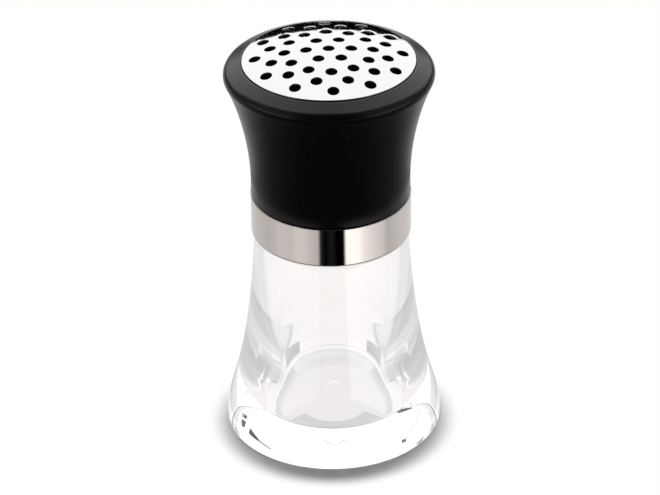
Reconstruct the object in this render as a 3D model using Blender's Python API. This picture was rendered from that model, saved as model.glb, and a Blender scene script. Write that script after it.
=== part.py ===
"""Table shaker for dry spice, built piece by piece as the real one is.

A clear glass jar with a heavy flared foot carries a screw cap. The cap is a
threaded sleeve that holds a drawn steel band, a flared black collar and a
domed steel plate with rows of sprinkling holes, which a ring grips from inside.
Lengths are in metres, +Z is up and the origin is the middle of the jar's foot.
"""
import math

import bmesh
import bpy
from mathutils import Vector

# How finely round shapes are cut into flat ones
SEGMENTS = 48
FLANK_STEPS = 11
ROUND_STEPS = 3
WIDE_ROUND_STEPS = 6
THREAD_STEPS_PER_TURN = 36
HOLE_SIDES = 16
DOME_RINGS = 7
MERGE_DISTANCE = 0.000001
SHARP_ANGLE = math.radians(32)

# Clearance wherever one piece rests on, or stands inside, another
SEAT_GAP = 0.0003
CUT_OVERRUN = 0.001

# Jar: shares run from the shoulder's radius to the foot's, and from foot to shoulder
JAR_HEIGHT = 0.0576
FOOT_RADIUS = 0.02896
FOOT_EDGE_ROUND = 0.0006
SHOULDER_ROUND = 0.0004
JAR_FLANK_SHARES = ((1.0, 0.203), (0.30, 0.206))

# Hollow of the jar: it narrows from the throat to a waist and widens below it to a
# floor, which has the shallow dimple that the glassmaker's plunger leaves
FLOOR_THICKNESS = 0.006
FLOOR_ROUND = 0.0015
FLOOR_FLARE = 0.0014
WAIST_RISE = 0.011
WAIST_INSET = 0.0003
WAIST_ROUND = 0.05
DIMPLE_RADIUS = 0.0018
DIMPLE_DEPTH = 0.0004
DIMPLE_BEVEL = 0.0003

# Neck of the jar, above its shoulder
THROAT_RADIUS = 0.0162
NECK_WALL = 0.00135
NECK_HEIGHT = 0.0085
NECK_ROOT_ROUND = 0.0004
LIP_ROUND = 0.0004

# Screw thread, the same ridge on the neck and inside the sleeve
THREAD_LEAD = 0.00423
THREAD_DEPTH = 0.0011
THREAD_ROOT_WIDTH = 0.0017
THREAD_CREST_WIDTH = 0.0009
THREAD_RADIAL_GAP = 0.0004
THREAD_EMBED = 0.0003
THREAD_INSET = 0.00085
THREAD_TAPER_TURN_SHARE = 0.08

# Seal between the jar's lip and the sleeve's flange
SEAL_THICKNESS = 0.001
SEAL_INSET = 0.0002
SEAL_EDGE_ROUND = 0.0002

# Threaded sleeve inside the cap
SLEEVE_WALL = 0.0011
SLEEVE_EDGE_BEVEL = 0.0002
SLEEVE_SHOULDER = 0.00095
FLANGE_THICKNESS = 0.0013
FLANGE_REACH = 0.00015
FLANGE_LAND = 0.0005
SPIGOT_WALL = 0.0013
SPIGOT_HEIGHT = 0.0065
SPIGOT_BEVEL = 0.0004

# Steel band round the sleeve, its lower edge turned in under it
BAND_GAUGE = 0.00055
BAND_LIP_REACH = 0.0011
BAND_OVERHANG = 0.00075
BAND_EDGE_ROUND = 0.0002

# Flared collar: shares run from its foot to the underside of its rim, in radius and
# in height. The rim's corner, before its round, stands out over that underside.
COLLAR_HEIGHT = 0.03748
COLLAR_INSET = 0.0001
COLLAR_FOOT_BEVEL = 0.00025
RIM_WIDTH = 0.0053
RIM_ROUND = 0.0022
RIM_DROP = 0.00232
RIM_OVERHANG = 0.00105
RIM_DEPTH = 0.00217
LIP_LAND = 0.0004
LIP_CREST_ROUND = 0.0004
LIP_EDGE_ROUND = 0.0003
COLLAR_FLANK_SHARES = ((-0.136, 0.438), (0.59, 0.847))

# Domed steel plate, and its holes: each row is the share of the plate's radius
# that it stands at, its number of holes, and its turn as a share of their spacing
DOME_RADIUS = 0.0223
DOME_RISE = 0.00327
DOME_GAUGE = 0.0006
DOME_SKIRT = 0.0039
DOME_EDGE_ROUND = 0.0009
DOME_STAND = 0.00032
HOLE_RADIUS = 0.0015
HOLE_ROW_SHARES = ((0.259, 6, 0.0), (0.508, 12, 0.0), (0.688, 12, 0.5), (0.849, 12, 0.0))
HOLE_PATTERN_TURN = math.radians(3.1)

# Ring that grips the plate's skirt from inside
RING_WALL = 0.0009
RING_HEIGHT = 0.003
RING_EDGE_BEVEL = 0.0002

# Radii that follow, from the throat outwards
NECK_RADIUS = THROAT_RADIUS + NECK_WALL
SLEEVE_BORE_RADIUS = NECK_RADIUS + THREAD_DEPTH + THREAD_RADIAL_GAP
SLEEVE_RADIUS = SLEEVE_BORE_RADIUS + SLEEVE_WALL
SPIGOT_RADIUS = SLEEVE_RADIUS - SLEEVE_SHOULDER
BAND_BORE_RADIUS = SLEEVE_RADIUS + SEAT_GAP
BAND_RADIUS = BAND_BORE_RADIUS + BAND_GAUGE
SHOULDER_RADIUS = BAND_RADIUS - BAND_OVERHANG
COLLAR_FOOT_RADIUS = BAND_RADIUS - COLLAR_INSET
REBATE_RADIUS = DOME_RADIUS + SEAT_GAP
RIM_RADIUS = REBATE_RADIUS + RIM_WIDTH
RING_RADIUS = DOME_RADIUS - DOME_GAUGE - SEAT_GAP
RING_BORE_RADIUS = RING_RADIUS - RING_WALL

# Heights above the table that follow, from the jar's shoulder upwards
MOUTH_HEIGHT = JAR_HEIGHT + NECK_HEIGHT
BAND_BASE = JAR_HEIGHT + SEAT_GAP
SLEEVE_BASE = BAND_BASE + BAND_GAUGE + SEAT_GAP
SEAL_BASE = MOUTH_HEIGHT + SEAT_GAP
FLANGE_BASE = SEAL_BASE + SEAL_THICKNESS + SEAT_GAP
FLANGE_TOP = FLANGE_BASE + FLANGE_THICKNESS
COLLAR_BASE = FLANGE_TOP + SEAT_GAP
DOME_BASE = COLLAR_BASE + COLLAR_HEIGHT + DOME_STAND - DOME_SKIRT
LEDGE_HEIGHT = DOME_BASE - SEAT_GAP
RING_BASE = LEDGE_HEIGHT + SEAT_GAP


def clear_scene():
    for item in list(bpy.data.objects):
        bpy.data.objects.remove(item)


def make_material(name, colour, roughness, metallic=0.0, transmission=0.0):
    material = bpy.data.materials.new(name)
    material.use_nodes = True
    shader = material.node_tree.nodes["Principled BSDF"]
    shader.inputs["Base Color"].default_value = (*colour, 1.0)
    shader.inputs["Roughness"].default_value = roughness
    shader.inputs["Metallic"].default_value = metallic
    shader.inputs["Transmission Weight"].default_value = transmission
    material.diffuse_color = (*colour, 1.0)
    return material


def corner(radius, height, size=0.0, steps=ROUND_STEPS):
    """One corner of an outline, rounded to a radius of size in that many flats."""
    return Vector((radius, height)), size, steps


def flank(start, end, shares, steps=FLANK_STEPS):
    """Plain corners along a smooth curve between two corners.

    Its two handles are shares of the way from start to end, so that a share
    of 1 in radius stands over the wider end of the curve.
    """
    narrow, wide = sorted((start[0].x, end[0].x))
    low, high = start[0].y, end[0].y
    handles = [
        Vector((narrow + (wide - narrow) * across, low + (high - low) * up))
        for across, up in shares
    ]
    points = []
    for step in range(1, steps):
        along = step / steps
        back = 1 - along
        point = start[0] * back**3 + end[0] * along**3
        point += handles[0] * (3 * back**2 * along) + handles[1] * (3 * back * along**2)
        points.append((point, 0.0, 1))
    return points


def rounded(corners, closed):
    """The outline's points, with an arc in place of each corner that has a size."""
    points = []
    last = len(corners) - 1
    for index, (place, size, steps) in enumerate(corners):
        if not size or (not closed and index in (0, last)):
            points.append(place)
            continue
        back = (corners[index - 1][0] - place).normalized()
        ahead = (corners[(index + 1) % len(corners)][0] - place).normalized()
        half_angle = back.angle(ahead) / 2
        centre = place + (back + ahead).normalized() * (size / math.sin(half_angle))
        reach = size / math.tan(half_angle)
        first = place + back * reach - centre
        final = place + ahead * reach - centre
        turn = first.angle_signed(final)
        for step in range(steps + 1):
            angle = -turn * step / steps
            spoke = Vector((
                first.x * math.cos(angle) - first.y * math.sin(angle),
                first.x * math.sin(angle) + first.y * math.cos(angle),
            ))
            points.append(centre + spoke)
    return points


def link_mesh(name, bm, material):
    """An object for a finished mesh, smooth on its round faces."""
    mesh = bpy.data.meshes.new(name)
    bm.to_mesh(mesh)
    bm.free()
    mesh.materials.append(material)
    mesh.shade_smooth()
    mesh.set_sharp_from_angle(angle=SHARP_ANGLE)
    piece = bpy.data.objects.new(name, mesh)
    bpy.context.scene.collection.objects.link(piece)
    return piece


def turned(name, corners, material, closed=True):
    """A solid turned about +Z from an outline, which may begin and end on the axis."""
    bm = bmesh.new()
    points = rounded(corners, closed)
    ring = [bm.verts.new((point.x, 0.0, point.y)) for point in points]
    pairs = list(zip(ring, ring[1:]))
    if closed:
        pairs.append((ring[-1], ring[0]))
    edges = [bm.edges.new(pair) for pair in pairs]
    bmesh.ops.spin(
        bm,
        geom=ring + edges,
        cent=(0.0, 0.0, 0.0),
        axis=(0.0, 0.0, 1.0),
        angle=math.tau,
        steps=SEGMENTS,
        use_merge=True,
    )
    bmesh.ops.remove_doubles(bm, verts=bm.verts, dist=MERGE_DISTANCE)
    bmesh.ops.recalc_face_normals(bm, faces=bm.faces)
    return link_mesh(name, bm, material)


def thread_ridge(name, root_radius, outward, start_turn, turns, start_height, material):
    """A helical ridge to be joined to a wall: outward is 1 on a neck, -1 in a bore.

    Each end runs down into the wall, and the foot of the ridge is sunk in it.
    """
    bm = bmesh.new()
    steps = math.ceil(turns * THREAD_STEPS_PER_TURN)
    previous = None
    for step in range(steps + 1):
        along = turns * step / steps
        angle = math.tau * (start_turn + along)
        middle = start_height + THREAD_LEAD * along
        from_end = min(along, turns - along)
        full_share = min(1.0, from_end / THREAD_TAPER_TURN_SHARE)
        rise = THREAD_DEPTH * full_share - THREAD_EMBED * (1 - full_share) / 2
        foot = root_radius - outward * THREAD_EMBED
        crest = root_radius + outward * rise
        section = (
            (foot, -THREAD_ROOT_WIDTH / 2),
            (crest, -THREAD_CREST_WIDTH / 2),
            (crest, THREAD_CREST_WIDTH / 2),
            (foot, THREAD_ROOT_WIDTH / 2),
        )
        current = [
            bm.verts.new((radius * math.cos(angle), radius * math.sin(angle), middle + offset))
            for radius, offset in section
        ]
        if previous is None:
            bm.faces.new(current)
        else:
            for side in range(len(section)):
                after = (side + 1) % len(section)
                bm.faces.new((previous[side], previous[after], current[after], current[side]))
        previous = current
    bm.faces.new(reversed(previous))
    bmesh.ops.recalc_face_normals(bm, faces=bm.faces)
    ridge = link_mesh(name, bm, material)
    hide_tool(ridge)
    return ridge


def hide_tool(tool):
    """Keeps a helper shape out of the finished part."""
    tool.hide_render = True
    tool.display_type = "WIRE"


def combine(piece, tool, operation):
    modifier = piece.modifiers.new(tool.name, "BOOLEAN")
    modifier.operation = operation
    modifier.solver = "EXACT"
    modifier.object = tool
    tool.parent = piece


def neck_ridge_start():
    """Height above the table of the middle of the neck's ridge at its lower end."""
    return JAR_HEIGHT + THREAD_INSET + THREAD_ROOT_WIDTH / 2


def ridge_offset():
    """How far the sleeve's ridge lies under the neck's when the cap is shut."""
    mean_width = (THREAD_ROOT_WIDTH + THREAD_CREST_WIDTH) / 2
    slope = (THREAD_ROOT_WIDTH - THREAD_CREST_WIDTH) / 2 / THREAD_DEPTH
    return mean_width - slope * THREAD_RADIAL_GAP + SEAT_GAP


def ridge_turns(start):
    """Turns that fit between a ridge's first middle and the jar's lip."""
    return (MOUTH_HEIGHT - THREAD_INSET - THREAD_ROOT_WIDTH / 2 - start) / THREAD_LEAD


def make_jar(material):
    foot = corner(FOOT_RADIUS, 0.0, FOOT_EDGE_ROUND)
    shoulder = corner(SHOULDER_RADIUS, JAR_HEIGHT, SHOULDER_ROUND)
    waist_radius = THROAT_RADIUS - WAIST_INSET
    waist_height = FLOOR_THICKNESS + WAIST_RISE
    floor_radius = waist_radius + FLOOR_FLARE
    dimple_floor = FLOOR_THICKNESS - DIMPLE_DEPTH
    outline = [corner(0.0, 0.0), foot]
    outline += flank(foot, shoulder, JAR_FLANK_SHARES)
    outline += [
        shoulder,
        corner(NECK_RADIUS, JAR_HEIGHT, NECK_ROOT_ROUND, 1),
        corner(NECK_RADIUS, MOUTH_HEIGHT, LIP_ROUND, 2),
        corner(THROAT_RADIUS, MOUTH_HEIGHT, LIP_ROUND, 2),
        corner(waist_radius, waist_height, WAIST_ROUND, WIDE_ROUND_STEPS),
        corner(floor_radius, FLOOR_THICKNESS, FLOOR_ROUND, WIDE_ROUND_STEPS),
        corner(DIMPLE_RADIUS, FLOOR_THICKNESS),
        corner(DIMPLE_RADIUS - DIMPLE_BEVEL, dimple_floor),
        corner(0.0, dimple_floor),
    ]
    jar = turned("jar", outline, material, closed=False)
    start = neck_ridge_start()
    ridge = thread_ridge("jar_thread", NECK_RADIUS, 1, 0.0, ridge_turns(start), start, material)
    combine(jar, ridge, "UNION")
    return jar


def make_seal(material):
    inner = THROAT_RADIUS + SEAL_INSET
    outer = SLEEVE_BORE_RADIUS - SEAT_GAP
    return turned("mouth_seal", [
        corner(inner, 0.0),
        corner(outer, 0.0, SEAL_EDGE_ROUND, 1),
        corner(outer, SEAL_THICKNESS, SEAL_EDGE_ROUND, 1),
        corner(inner, SEAL_THICKNESS),
    ], material)


def make_sleeve(material):
    """The sleeve, its heights counted from its lower edge."""
    flange_bore = THROAT_RADIUS + FLANGE_REACH
    flange_base = FLANGE_BASE - SLEEVE_BASE
    flange_top = FLANGE_TOP - SLEEVE_BASE
    spigot_top = flange_top + SPIGOT_HEIGHT
    spigot_bore = SPIGOT_RADIUS - SPIGOT_WALL
    sleeve = turned("screw_sleeve", [
        corner(SLEEVE_BORE_RADIUS, 0.0, SLEEVE_EDGE_BEVEL, 1),
        corner(SLEEVE_RADIUS, 0.0, SLEEVE_EDGE_BEVEL, 1),
        corner(SLEEVE_RADIUS, flange_top, SLEEVE_EDGE_BEVEL, 1),
        corner(SPIGOT_RADIUS, flange_top),
        corner(SPIGOT_RADIUS, spigot_top, SPIGOT_BEVEL, 1),
        corner(spigot_bore, spigot_top, SPIGOT_BEVEL, 1),
        corner(spigot_bore, flange_top + spigot_bore - flange_bore),
        corner(flange_bore, flange_base + FLANGE_LAND),
        corner(flange_bore, flange_base),
        corner(SLEEVE_BORE_RADIUS, flange_base),
    ], material)
    lowest = SLEEVE_BASE + SLEEVE_EDGE_BEVEL + THREAD_ROOT_WIDTH / 2
    start_turn = (lowest + ridge_offset() - neck_ridge_start()) / THREAD_LEAD
    ridge = thread_ridge(
        "sleeve_thread",
        SLEEVE_BORE_RADIUS,
        -1,
        start_turn,
        ridge_turns(lowest),
        lowest - SLEEVE_BASE,
        material,
    )
    combine(sleeve, ridge, "UNION")
    return sleeve


def make_band(material):
    """The band, its heights counted from the underside of its turned-in lip."""
    height = FLANGE_TOP - BAND_BASE
    lip_bore = BAND_BORE_RADIUS - BAND_LIP_REACH
    return turned("steel_band", [
        corner(lip_bore, 0.0),
        corner(BAND_RADIUS, 0.0, BAND_GAUGE),
        corner(BAND_RADIUS, height, BAND_EDGE_ROUND, 2),
        corner(BAND_BORE_RADIUS, height),
        corner(BAND_BORE_RADIUS, BAND_GAUGE),
        corner(lip_bore, BAND_GAUGE),
    ], material)


def make_collar(material):
    """The collar, its heights counted from its lower edge.

    Its bore grips the spigot, and opens above it to the bore of the plate's ring.
    """
    grip_bore = SPIGOT_RADIUS + SEAT_GAP
    grip_top = FLANGE_TOP + SPIGOT_HEIGHT - COLLAR_BASE
    foot = corner(COLLAR_FOOT_RADIUS, 0.0, COLLAR_FOOT_BEVEL, 1)
    rim_height = COLLAR_HEIGHT - RIM_DROP
    rim = corner(RIM_RADIUS, rim_height, RIM_ROUND, WIDE_ROUND_STEPS)
    under_rim = corner(RIM_RADIUS - RIM_OVERHANG, rim_height - RIM_DEPTH)
    ledge = LEDGE_HEIGHT - COLLAR_BASE
    outline = [corner(grip_bore, 0.0), foot]
    outline += flank(foot, under_rim, COLLAR_FLANK_SHARES)
    outline += [
        under_rim,
        rim,
        corner(REBATE_RADIUS + LIP_LAND, COLLAR_HEIGHT, LIP_CREST_ROUND),
        corner(REBATE_RADIUS, COLLAR_HEIGHT, LIP_EDGE_ROUND, 2),
        corner(REBATE_RADIUS, ledge),
        corner(RING_BORE_RADIUS, ledge),
        corner(grip_bore, grip_top),
    ]
    return turned("flared_collar", outline, material)


def dome_sphere_radius():
    return (DOME_RADIUS**2 + DOME_RISE**2) / (2 * DOME_RISE)


def dome_height(radius):
    """Height of the dome's outer face above the edge that it would meet unrounded."""
    sphere = dome_sphere_radius()
    return DOME_RISE - sphere + math.sqrt(sphere**2 - radius**2)


def make_dome(material):
    """The plate, its heights counted from the foot of its skirt."""
    sphere = dome_sphere_radius()
    centre = DOME_SKIRT + DOME_RISE - sphere
    inner_share = 1 - DOME_GAUGE / sphere
    bend = DOME_RADIUS - DOME_EDGE_ROUND
    outer_face = []
    inner_face = []
    for ring in range(DOME_RINGS):
        radius = bend * ring / DOME_RINGS
        height = DOME_SKIRT + dome_height(radius)
        outer_face.append(corner(radius, height))
        inner_face.append(corner(radius * inner_share, centre + (height - centre) * inner_share))
    skirt_bore = DOME_RADIUS - DOME_GAUGE
    inner_edge = DOME_SKIRT + dome_height(skirt_bore) - DOME_GAUGE
    outline = list(outer_face)
    outline += [
        corner(DOME_RADIUS, DOME_SKIRT, DOME_EDGE_ROUND),
        corner(DOME_RADIUS, 0.0),
        corner(skirt_bore, 0.0),
        corner(skirt_bore, inner_edge, DOME_EDGE_ROUND - DOME_GAUGE, 1),
    ]
    outline += reversed(inner_face)
    dome = turned("perforated_dome", outline, material, closed=False)
    combine(dome, make_punches(material), "DIFFERENCE")
    return dome


def hole_places():
    """Radius and angle of each hole: one in the middle, then the rows."""
    places = [(0.0, 0.0)]
    for radius_share, count, turn_share in HOLE_ROW_SHARES:
        for index in range(count):
            angle = HOLE_PATTERN_TURN + math.tau * (index + turn_share) / count
            places.append((DOME_RADIUS * radius_share, angle))
    return places


def make_punches(material):
    """Prisms, each leaned to stand square to the dome, that cut the holes."""
    bm = bmesh.new()
    sphere = dome_sphere_radius()
    reach = DOME_GAUGE + CUT_OVERRUN
    for radius, angle in hole_places():
        outward = Vector((math.cos(angle), math.sin(angle), 0.0))
        sideways = Vector((-outward.y, outward.x, 0.0))
        lean = math.asin(radius / sphere)
        normal = outward * math.sin(lean) + Vector((0.0, 0.0, math.cos(lean)))
        across = normal.cross(sideways)
        face_point = outward * radius + Vector((0.0, 0.0, DOME_SKIRT + dome_height(radius)))
        rings = []
        for shift in (-reach, CUT_OVERRUN):
            ring = []
            for side in range(HOLE_SIDES):
                turn = math.tau * side / HOLE_SIDES
                spoke = (across * math.cos(turn) + sideways * math.sin(turn)) * HOLE_RADIUS
                ring.append(bm.verts.new(face_point + normal * shift + spoke))
            rings.append(ring)
        bm.faces.new(rings[0])
        bm.faces.new(reversed(rings[1]))
        for side in range(HOLE_SIDES):
            after = (side + 1) % HOLE_SIDES
            bm.faces.new((rings[0][after], rings[0][side], rings[1][side], rings[1][after]))
    bmesh.ops.recalc_face_normals(bm, faces=bm.faces)
    punches = link_mesh("hole_punches", bm, material)
    hide_tool(punches)
    return punches


def make_ring(material):
    return turned("dome_retaining_ring", [
        corner(RING_BORE_RADIUS, 0.0),
        corner(RING_RADIUS, 0.0, RING_EDGE_BEVEL, 1),
        corner(RING_RADIUS, RING_HEIGHT, RING_EDGE_BEVEL, 1),
        corner(RING_BORE_RADIUS, RING_HEIGHT),
    ], material)


def make_axis(name, parent=None):
    """An empty on the screw axis, which carries what moves on it."""
    axis = bpy.data.objects.new(name, None)
    bpy.context.scene.collection.objects.link(axis)
    axis.parent = parent
    return axis


def seat(piece, carrier, height):
    piece.parent = carrier
    piece.location.z = height


def main():
    clear_scene()
    glass = make_material("clear_glass", (0.95, 0.955, 0.955), 0.02, transmission=1.0)
    silicone = make_material("seal_silicone", (0.62, 0.62, 0.6), 0.6)
    insert = make_material("black_insert", (0.02, 0.02, 0.022), 0.5)
    band_steel = make_material("band_steel", (0.72, 0.71, 0.70), 0.08, metallic=1.0)
    moulding = make_material("black_moulding", (0.012, 0.012, 0.013), 0.38)
    plate_steel = make_material("plate_steel", (0.75, 0.75, 0.74), 0.12, metallic=1.0)
    grip = make_material("black_grip", (0.018, 0.018, 0.02), 0.45)

    make_jar(glass)
    lift_axis = make_axis("cap_lift_axis")
    turn_axis = make_axis("cap_turn_axis", lift_axis)
    seat(make_seal(silicone), lift_axis, SEAL_BASE)
    seat(make_sleeve(insert), turn_axis, SLEEVE_BASE)
    seat(make_band(band_steel), turn_axis, BAND_BASE)
    seat(make_collar(moulding), turn_axis, COLLAR_BASE)
    seat(make_dome(plate_steel), turn_axis, DOME_BASE)
    seat(make_ring(grip), turn_axis, RING_BASE)


main()
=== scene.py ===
"""Dresses the packed table shaker: fine turned meshes, their finishes, and a pale studio.

Every visible piece is turned again from the same outline as its solid, much
finer, and rides on the body that carries the solid. Lengths are in metres.
"""
import math

import bmesh
import bpy
from bpy.props import FloatProperty, FloatVectorProperty, PointerProperty
from bpy.types import Operator, Panel, PropertyGroup
from mathutils import Matrix, Vector
from mathutils.geometry import delaunay_2d_cdt


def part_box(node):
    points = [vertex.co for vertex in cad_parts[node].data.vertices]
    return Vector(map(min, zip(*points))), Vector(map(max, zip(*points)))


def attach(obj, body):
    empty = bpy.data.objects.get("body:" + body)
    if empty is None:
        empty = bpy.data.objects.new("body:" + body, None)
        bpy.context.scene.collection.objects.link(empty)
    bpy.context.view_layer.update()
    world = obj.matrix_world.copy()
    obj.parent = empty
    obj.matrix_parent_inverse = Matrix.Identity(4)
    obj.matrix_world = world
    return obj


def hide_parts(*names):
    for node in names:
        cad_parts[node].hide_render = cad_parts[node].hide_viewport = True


bl_info = {
    "name": "Table shaker looks",
    "version": (1, 0, 0),
    "blender": (4, 5, 0),
    "location": "3D View > Sidebar > Shaker",
    "description": "Builds the fine meshes, finishes and studio of a table shaker",
    "category": "Object",
}

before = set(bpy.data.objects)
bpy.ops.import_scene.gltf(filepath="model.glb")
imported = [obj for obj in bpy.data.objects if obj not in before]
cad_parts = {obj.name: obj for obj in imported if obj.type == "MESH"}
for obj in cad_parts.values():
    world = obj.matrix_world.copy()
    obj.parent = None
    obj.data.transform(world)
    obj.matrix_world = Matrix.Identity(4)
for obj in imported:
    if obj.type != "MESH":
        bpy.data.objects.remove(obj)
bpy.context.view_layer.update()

# How finely the shown meshes are cut
SEGMENTS = 240
CURVE_STEPS = 72
ARC_STEP = math.radians(10)
ARC_LENGTH = 0.0005
THREAD_ROW = 0.00012
HOLE_SIDES = 40
PUNCH_ROUND_STEPS = 4
PLATE_CELL = 0.0009
SECTOR_STEPS = 48
TINY = 0.000001
SHARP_ANGLE = math.radians(35)


def top(node):
    """Height of a solid's highest point."""
    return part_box(node)[1].z


def foot(node):
    """Height of a solid's lowest point."""
    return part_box(node)[0].z


def reach(node):
    """Largest radius of a solid that is turned about the middle axis."""
    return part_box(node)[1].x


PLATE_SKIRT = 0.0039
PLATE_RISE = top("perforated_dome") - foot("perforated_dome") - PLATE_SKIRT


def linear(code):
    """An sRGB colour such as #C8A050 as the linear colour that shaders take."""
    shades = [int(code[place:place + 2], 16) / 255 for place in (1, 3, 5)]
    return [
        shade / 12.92 if shade <= 0.04045 else ((shade + 0.055) / 1.055) ** 2.4
        for shade in shades
    ]


def length(name, description, default):
    return FloatProperty(
        name=name, description=description, default=default, min=0.0,
        subtype="DISTANCE", unit="LENGTH", precision=5,
    )


def angle(name, description, degrees):
    return FloatProperty(
        name=name, description=description, default=math.radians(degrees),
        subtype="ANGLE", unit="ROTATION",
    )


def colour(name, description, code):
    return FloatVectorProperty(
        name=name, description=description, default=linear(code),
        size=3, min=0.0, max=1.0, subtype="COLOR",
    )


def number(name, description, default):
    return FloatProperty(name=name, description=description, default=default, min=0.0)


class ShakerJarSizes(PropertyGroup):
    """Sizes of the clear jar and its neck."""

    mouth_height: length("Mouth height", "From the table to the jar's lip", top("jar"))
    foot_radius: length("Foot radius", "Radius of the foot", reach("jar"))
    foot_round: length("Foot round", "Round where the flank meets the foot's face", 0.0006)
    neck_height: length("Neck height", "From the shoulder to the lip", 0.0085)
    neck_radius: length("Neck radius", "Outside of the neck, under its thread", 0.01755)
    shoulder_radius: length("Shoulder radius", "Outer edge of the shoulder", 0.02025)
    shoulder_round: length("Shoulder round", "Round on the shoulder's edge", 0.0004)
    neck_root_round: length("Neck root round", "Fillet where neck meets shoulder", 0.0004)
    lip_round: length("Lip round", "Rounds on both edges of the lip", 0.0004)
    throat_radius: length("Throat radius", "Bore at the mouth", 0.0162)
    floor_thickness: length("Floor thickness", "Clear floor under the spice", 0.006)
    floor_round: length("Floor round", "Round between the hollow's wall and floor", 0.0015)
    floor_flare: length("Floor flare", "How much wider the floor is than the waist", 0.0014)
    waist_rise: length("Waist rise", "From the hollow's floor to its waist", 0.011)
    waist_inset: length("Waist inset", "How much narrower the waist is than the throat", 0.0003)
    waist_round: length("Waist round", "Gentle curve through the waist", 0.05)
    dimple_radius: length("Dimple radius", "Mark that the plunger leaves in the floor", 0.0018)
    dimple_depth: length("Dimple depth", "How far the dimple lies under the floor", 0.0004)
    dimple_bevel: length("Dimple bevel", "Slope round the dimple", 0.0003)


class ShakerThreadSizes(PropertyGroup):
    """Sizes of the screw thread on the neck and in the sleeve."""

    lead: length("Lead", "Rise in one turn", 0.00423)
    depth: length("Depth", "How far the ridge stands out", 0.0011)
    root_width: length("Root width", "Width of the ridge at the wall", 0.0017)
    crest_width: length("Crest width", "Width of the ridge at its top", 0.0009)
    radial_gap: length("Radial gap", "Between the crest and the other wall", 0.0004)
    inset: length("Inset", "Plain wall before and after the ridge", 0.00085)
    taper_share: number("Taper share", "Share of a turn over which an end dies away", 0.08)


class ShakerCapSizes(PropertyGroup):
    """Sizes of the sleeve, band, collar, seal and ring in the cap."""

    seat_gap: length("Seat gap", "Between two pieces that sit together", 0.0003)
    seal_inset: length("Seal inset", "How far the washer stands back from the throat", 0.0002)
    seal_round: length("Seal round", "Rounds on the washer's outer edges", 0.0002)
    sleeve_wall: length("Sleeve wall", "Wall of the threaded sleeve", 0.0011)
    sleeve_shoulder: length("Sleeve shoulder", "Step from the sleeve in to its spigot", 0.00095)
    sleeve_bevel: length("Sleeve bevel", "Edge bevel of the sleeve", 0.0002)
    flange_thickness: length("Flange thickness", "Flange over the mouth", 0.0013)
    flange_reach: length("Flange reach", "Flange bore beyond the throat", 0.00015)
    flange_land: length("Flange land", "Straight edge of the flange's bore", 0.0005)
    spigot_wall: length("Spigot wall", "Wall of the spigot in the collar", 0.0013)
    spigot_bevel: length("Spigot bevel", "Bevel on the spigot's top", 0.0004)
    band_gauge: length("Band gauge", "Thickness of the band's steel", 0.00055)
    band_lip: length("Band lip", "How far the band's lower edge turns in", 0.0011)
    band_round: length("Band round", "Round on the band's upper edge", 0.0002)
    collar_inset: length("Collar inset", "How far the collar's foot stands in", 0.0001)
    collar_bevel: length("Collar bevel", "Bevel on the collar's foot", 0.00025)
    rim_width: length("Rim width", "From the plate's rebate to the rim's corner", 0.0053)
    rim_drop: length("Rim drop", "How far the rim's corner lies under the lip", 0.00232)
    rim_round: length("Rim round", "Round on the rim's corner", 0.0022)
    rim_overhang: length("Rim overhang", "How far the rim's corner stands out", 0.00105)
    rim_depth: length("Rim depth", "From the rim's corner down to its underside", 0.00217)
    lip_gap: length("Lip gap", "What shows between the plate and the lip", 0.0001)
    lip_land: length("Lip land", "Level lip round the plate", 0.0005)
    lip_crest_round: length("Lip crest round", "Round from the level lip to its slope", 0.0004)
    lip_edge_round: length("Lip edge round", "Round on the lip's inner edge", 0.00015)
    ring_wall: length("Ring wall", "Wall of the ring under the plate", 0.0009)
    ring_bevel: length("Ring bevel", "Bevel of the ring's outer edges", 0.0002)


class ShakerPlateSizes(PropertyGroup):
    """Sizes of the domed steel plate and its holes."""

    radius: length("Plate radius", "Outside of the plate's skirt", reach("perforated_dome"))
    skirt: length("Skirt", "Height of the skirt up to the unrounded edge", PLATE_SKIRT)
    rise: length("Rise", "How far the middle stands above the unrounded edge", PLATE_RISE)
    gauge: length("Gauge", "Thickness of the sheet", 0.0006)
    edge_reach: length("Edge reach", "From the dome's last ring out to the skirt", 0.0002)
    edge_round: length("Edge round", "Outer round from the dome to the skirt", 0.00016)
    hole_radius: length("Hole radius", "Radius of each sprinkling hole", 0.0015)
    punch_round: length("Punch round", "Edge that the punch draws in", 0.00012)
    pattern_turn: angle("Pattern turn", "Turn of the hole pattern", 3.1)


class ShakerFinishes(PropertyGroup):
    """Colours and gloss that a user may change."""

    glass: colour("Glass", "Tint of the clear jar", "#FEFEFE")
    # Painted glow of the glass where the renderer gives up on a ray low in the jar
    glass_low_glow: number("Glass depth", "Tone of the longest paths low in the jar", 0.8)
    # Painted glow of the glass where the renderer gives up on a ray high in the jar
    glass_high_glow: number("Glass dark", "Tone of the longest paths high in the jar", 0.7)
    silicone: colour("Silicone", "Washer", "#CCCBC8")
    insert: colour("Insert", "Hidden black mouldings", "#1E1E1F")
    collar: colour("Collar", "Flared collar", "#040404")
    band: colour("Band steel", "Polished band", "#CCC5C0")
    plate: colour("Plate steel", "Polished plate", "#DEDDDC")
    collar_roughness: number("Collar roughness", "Satin of the collar", 0.28)
    band_roughness: number("Band roughness", "Mirror of the band", 0.05)
    plate_roughness: number("Plate roughness", "Polish of the plate", 0.07)


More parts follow.
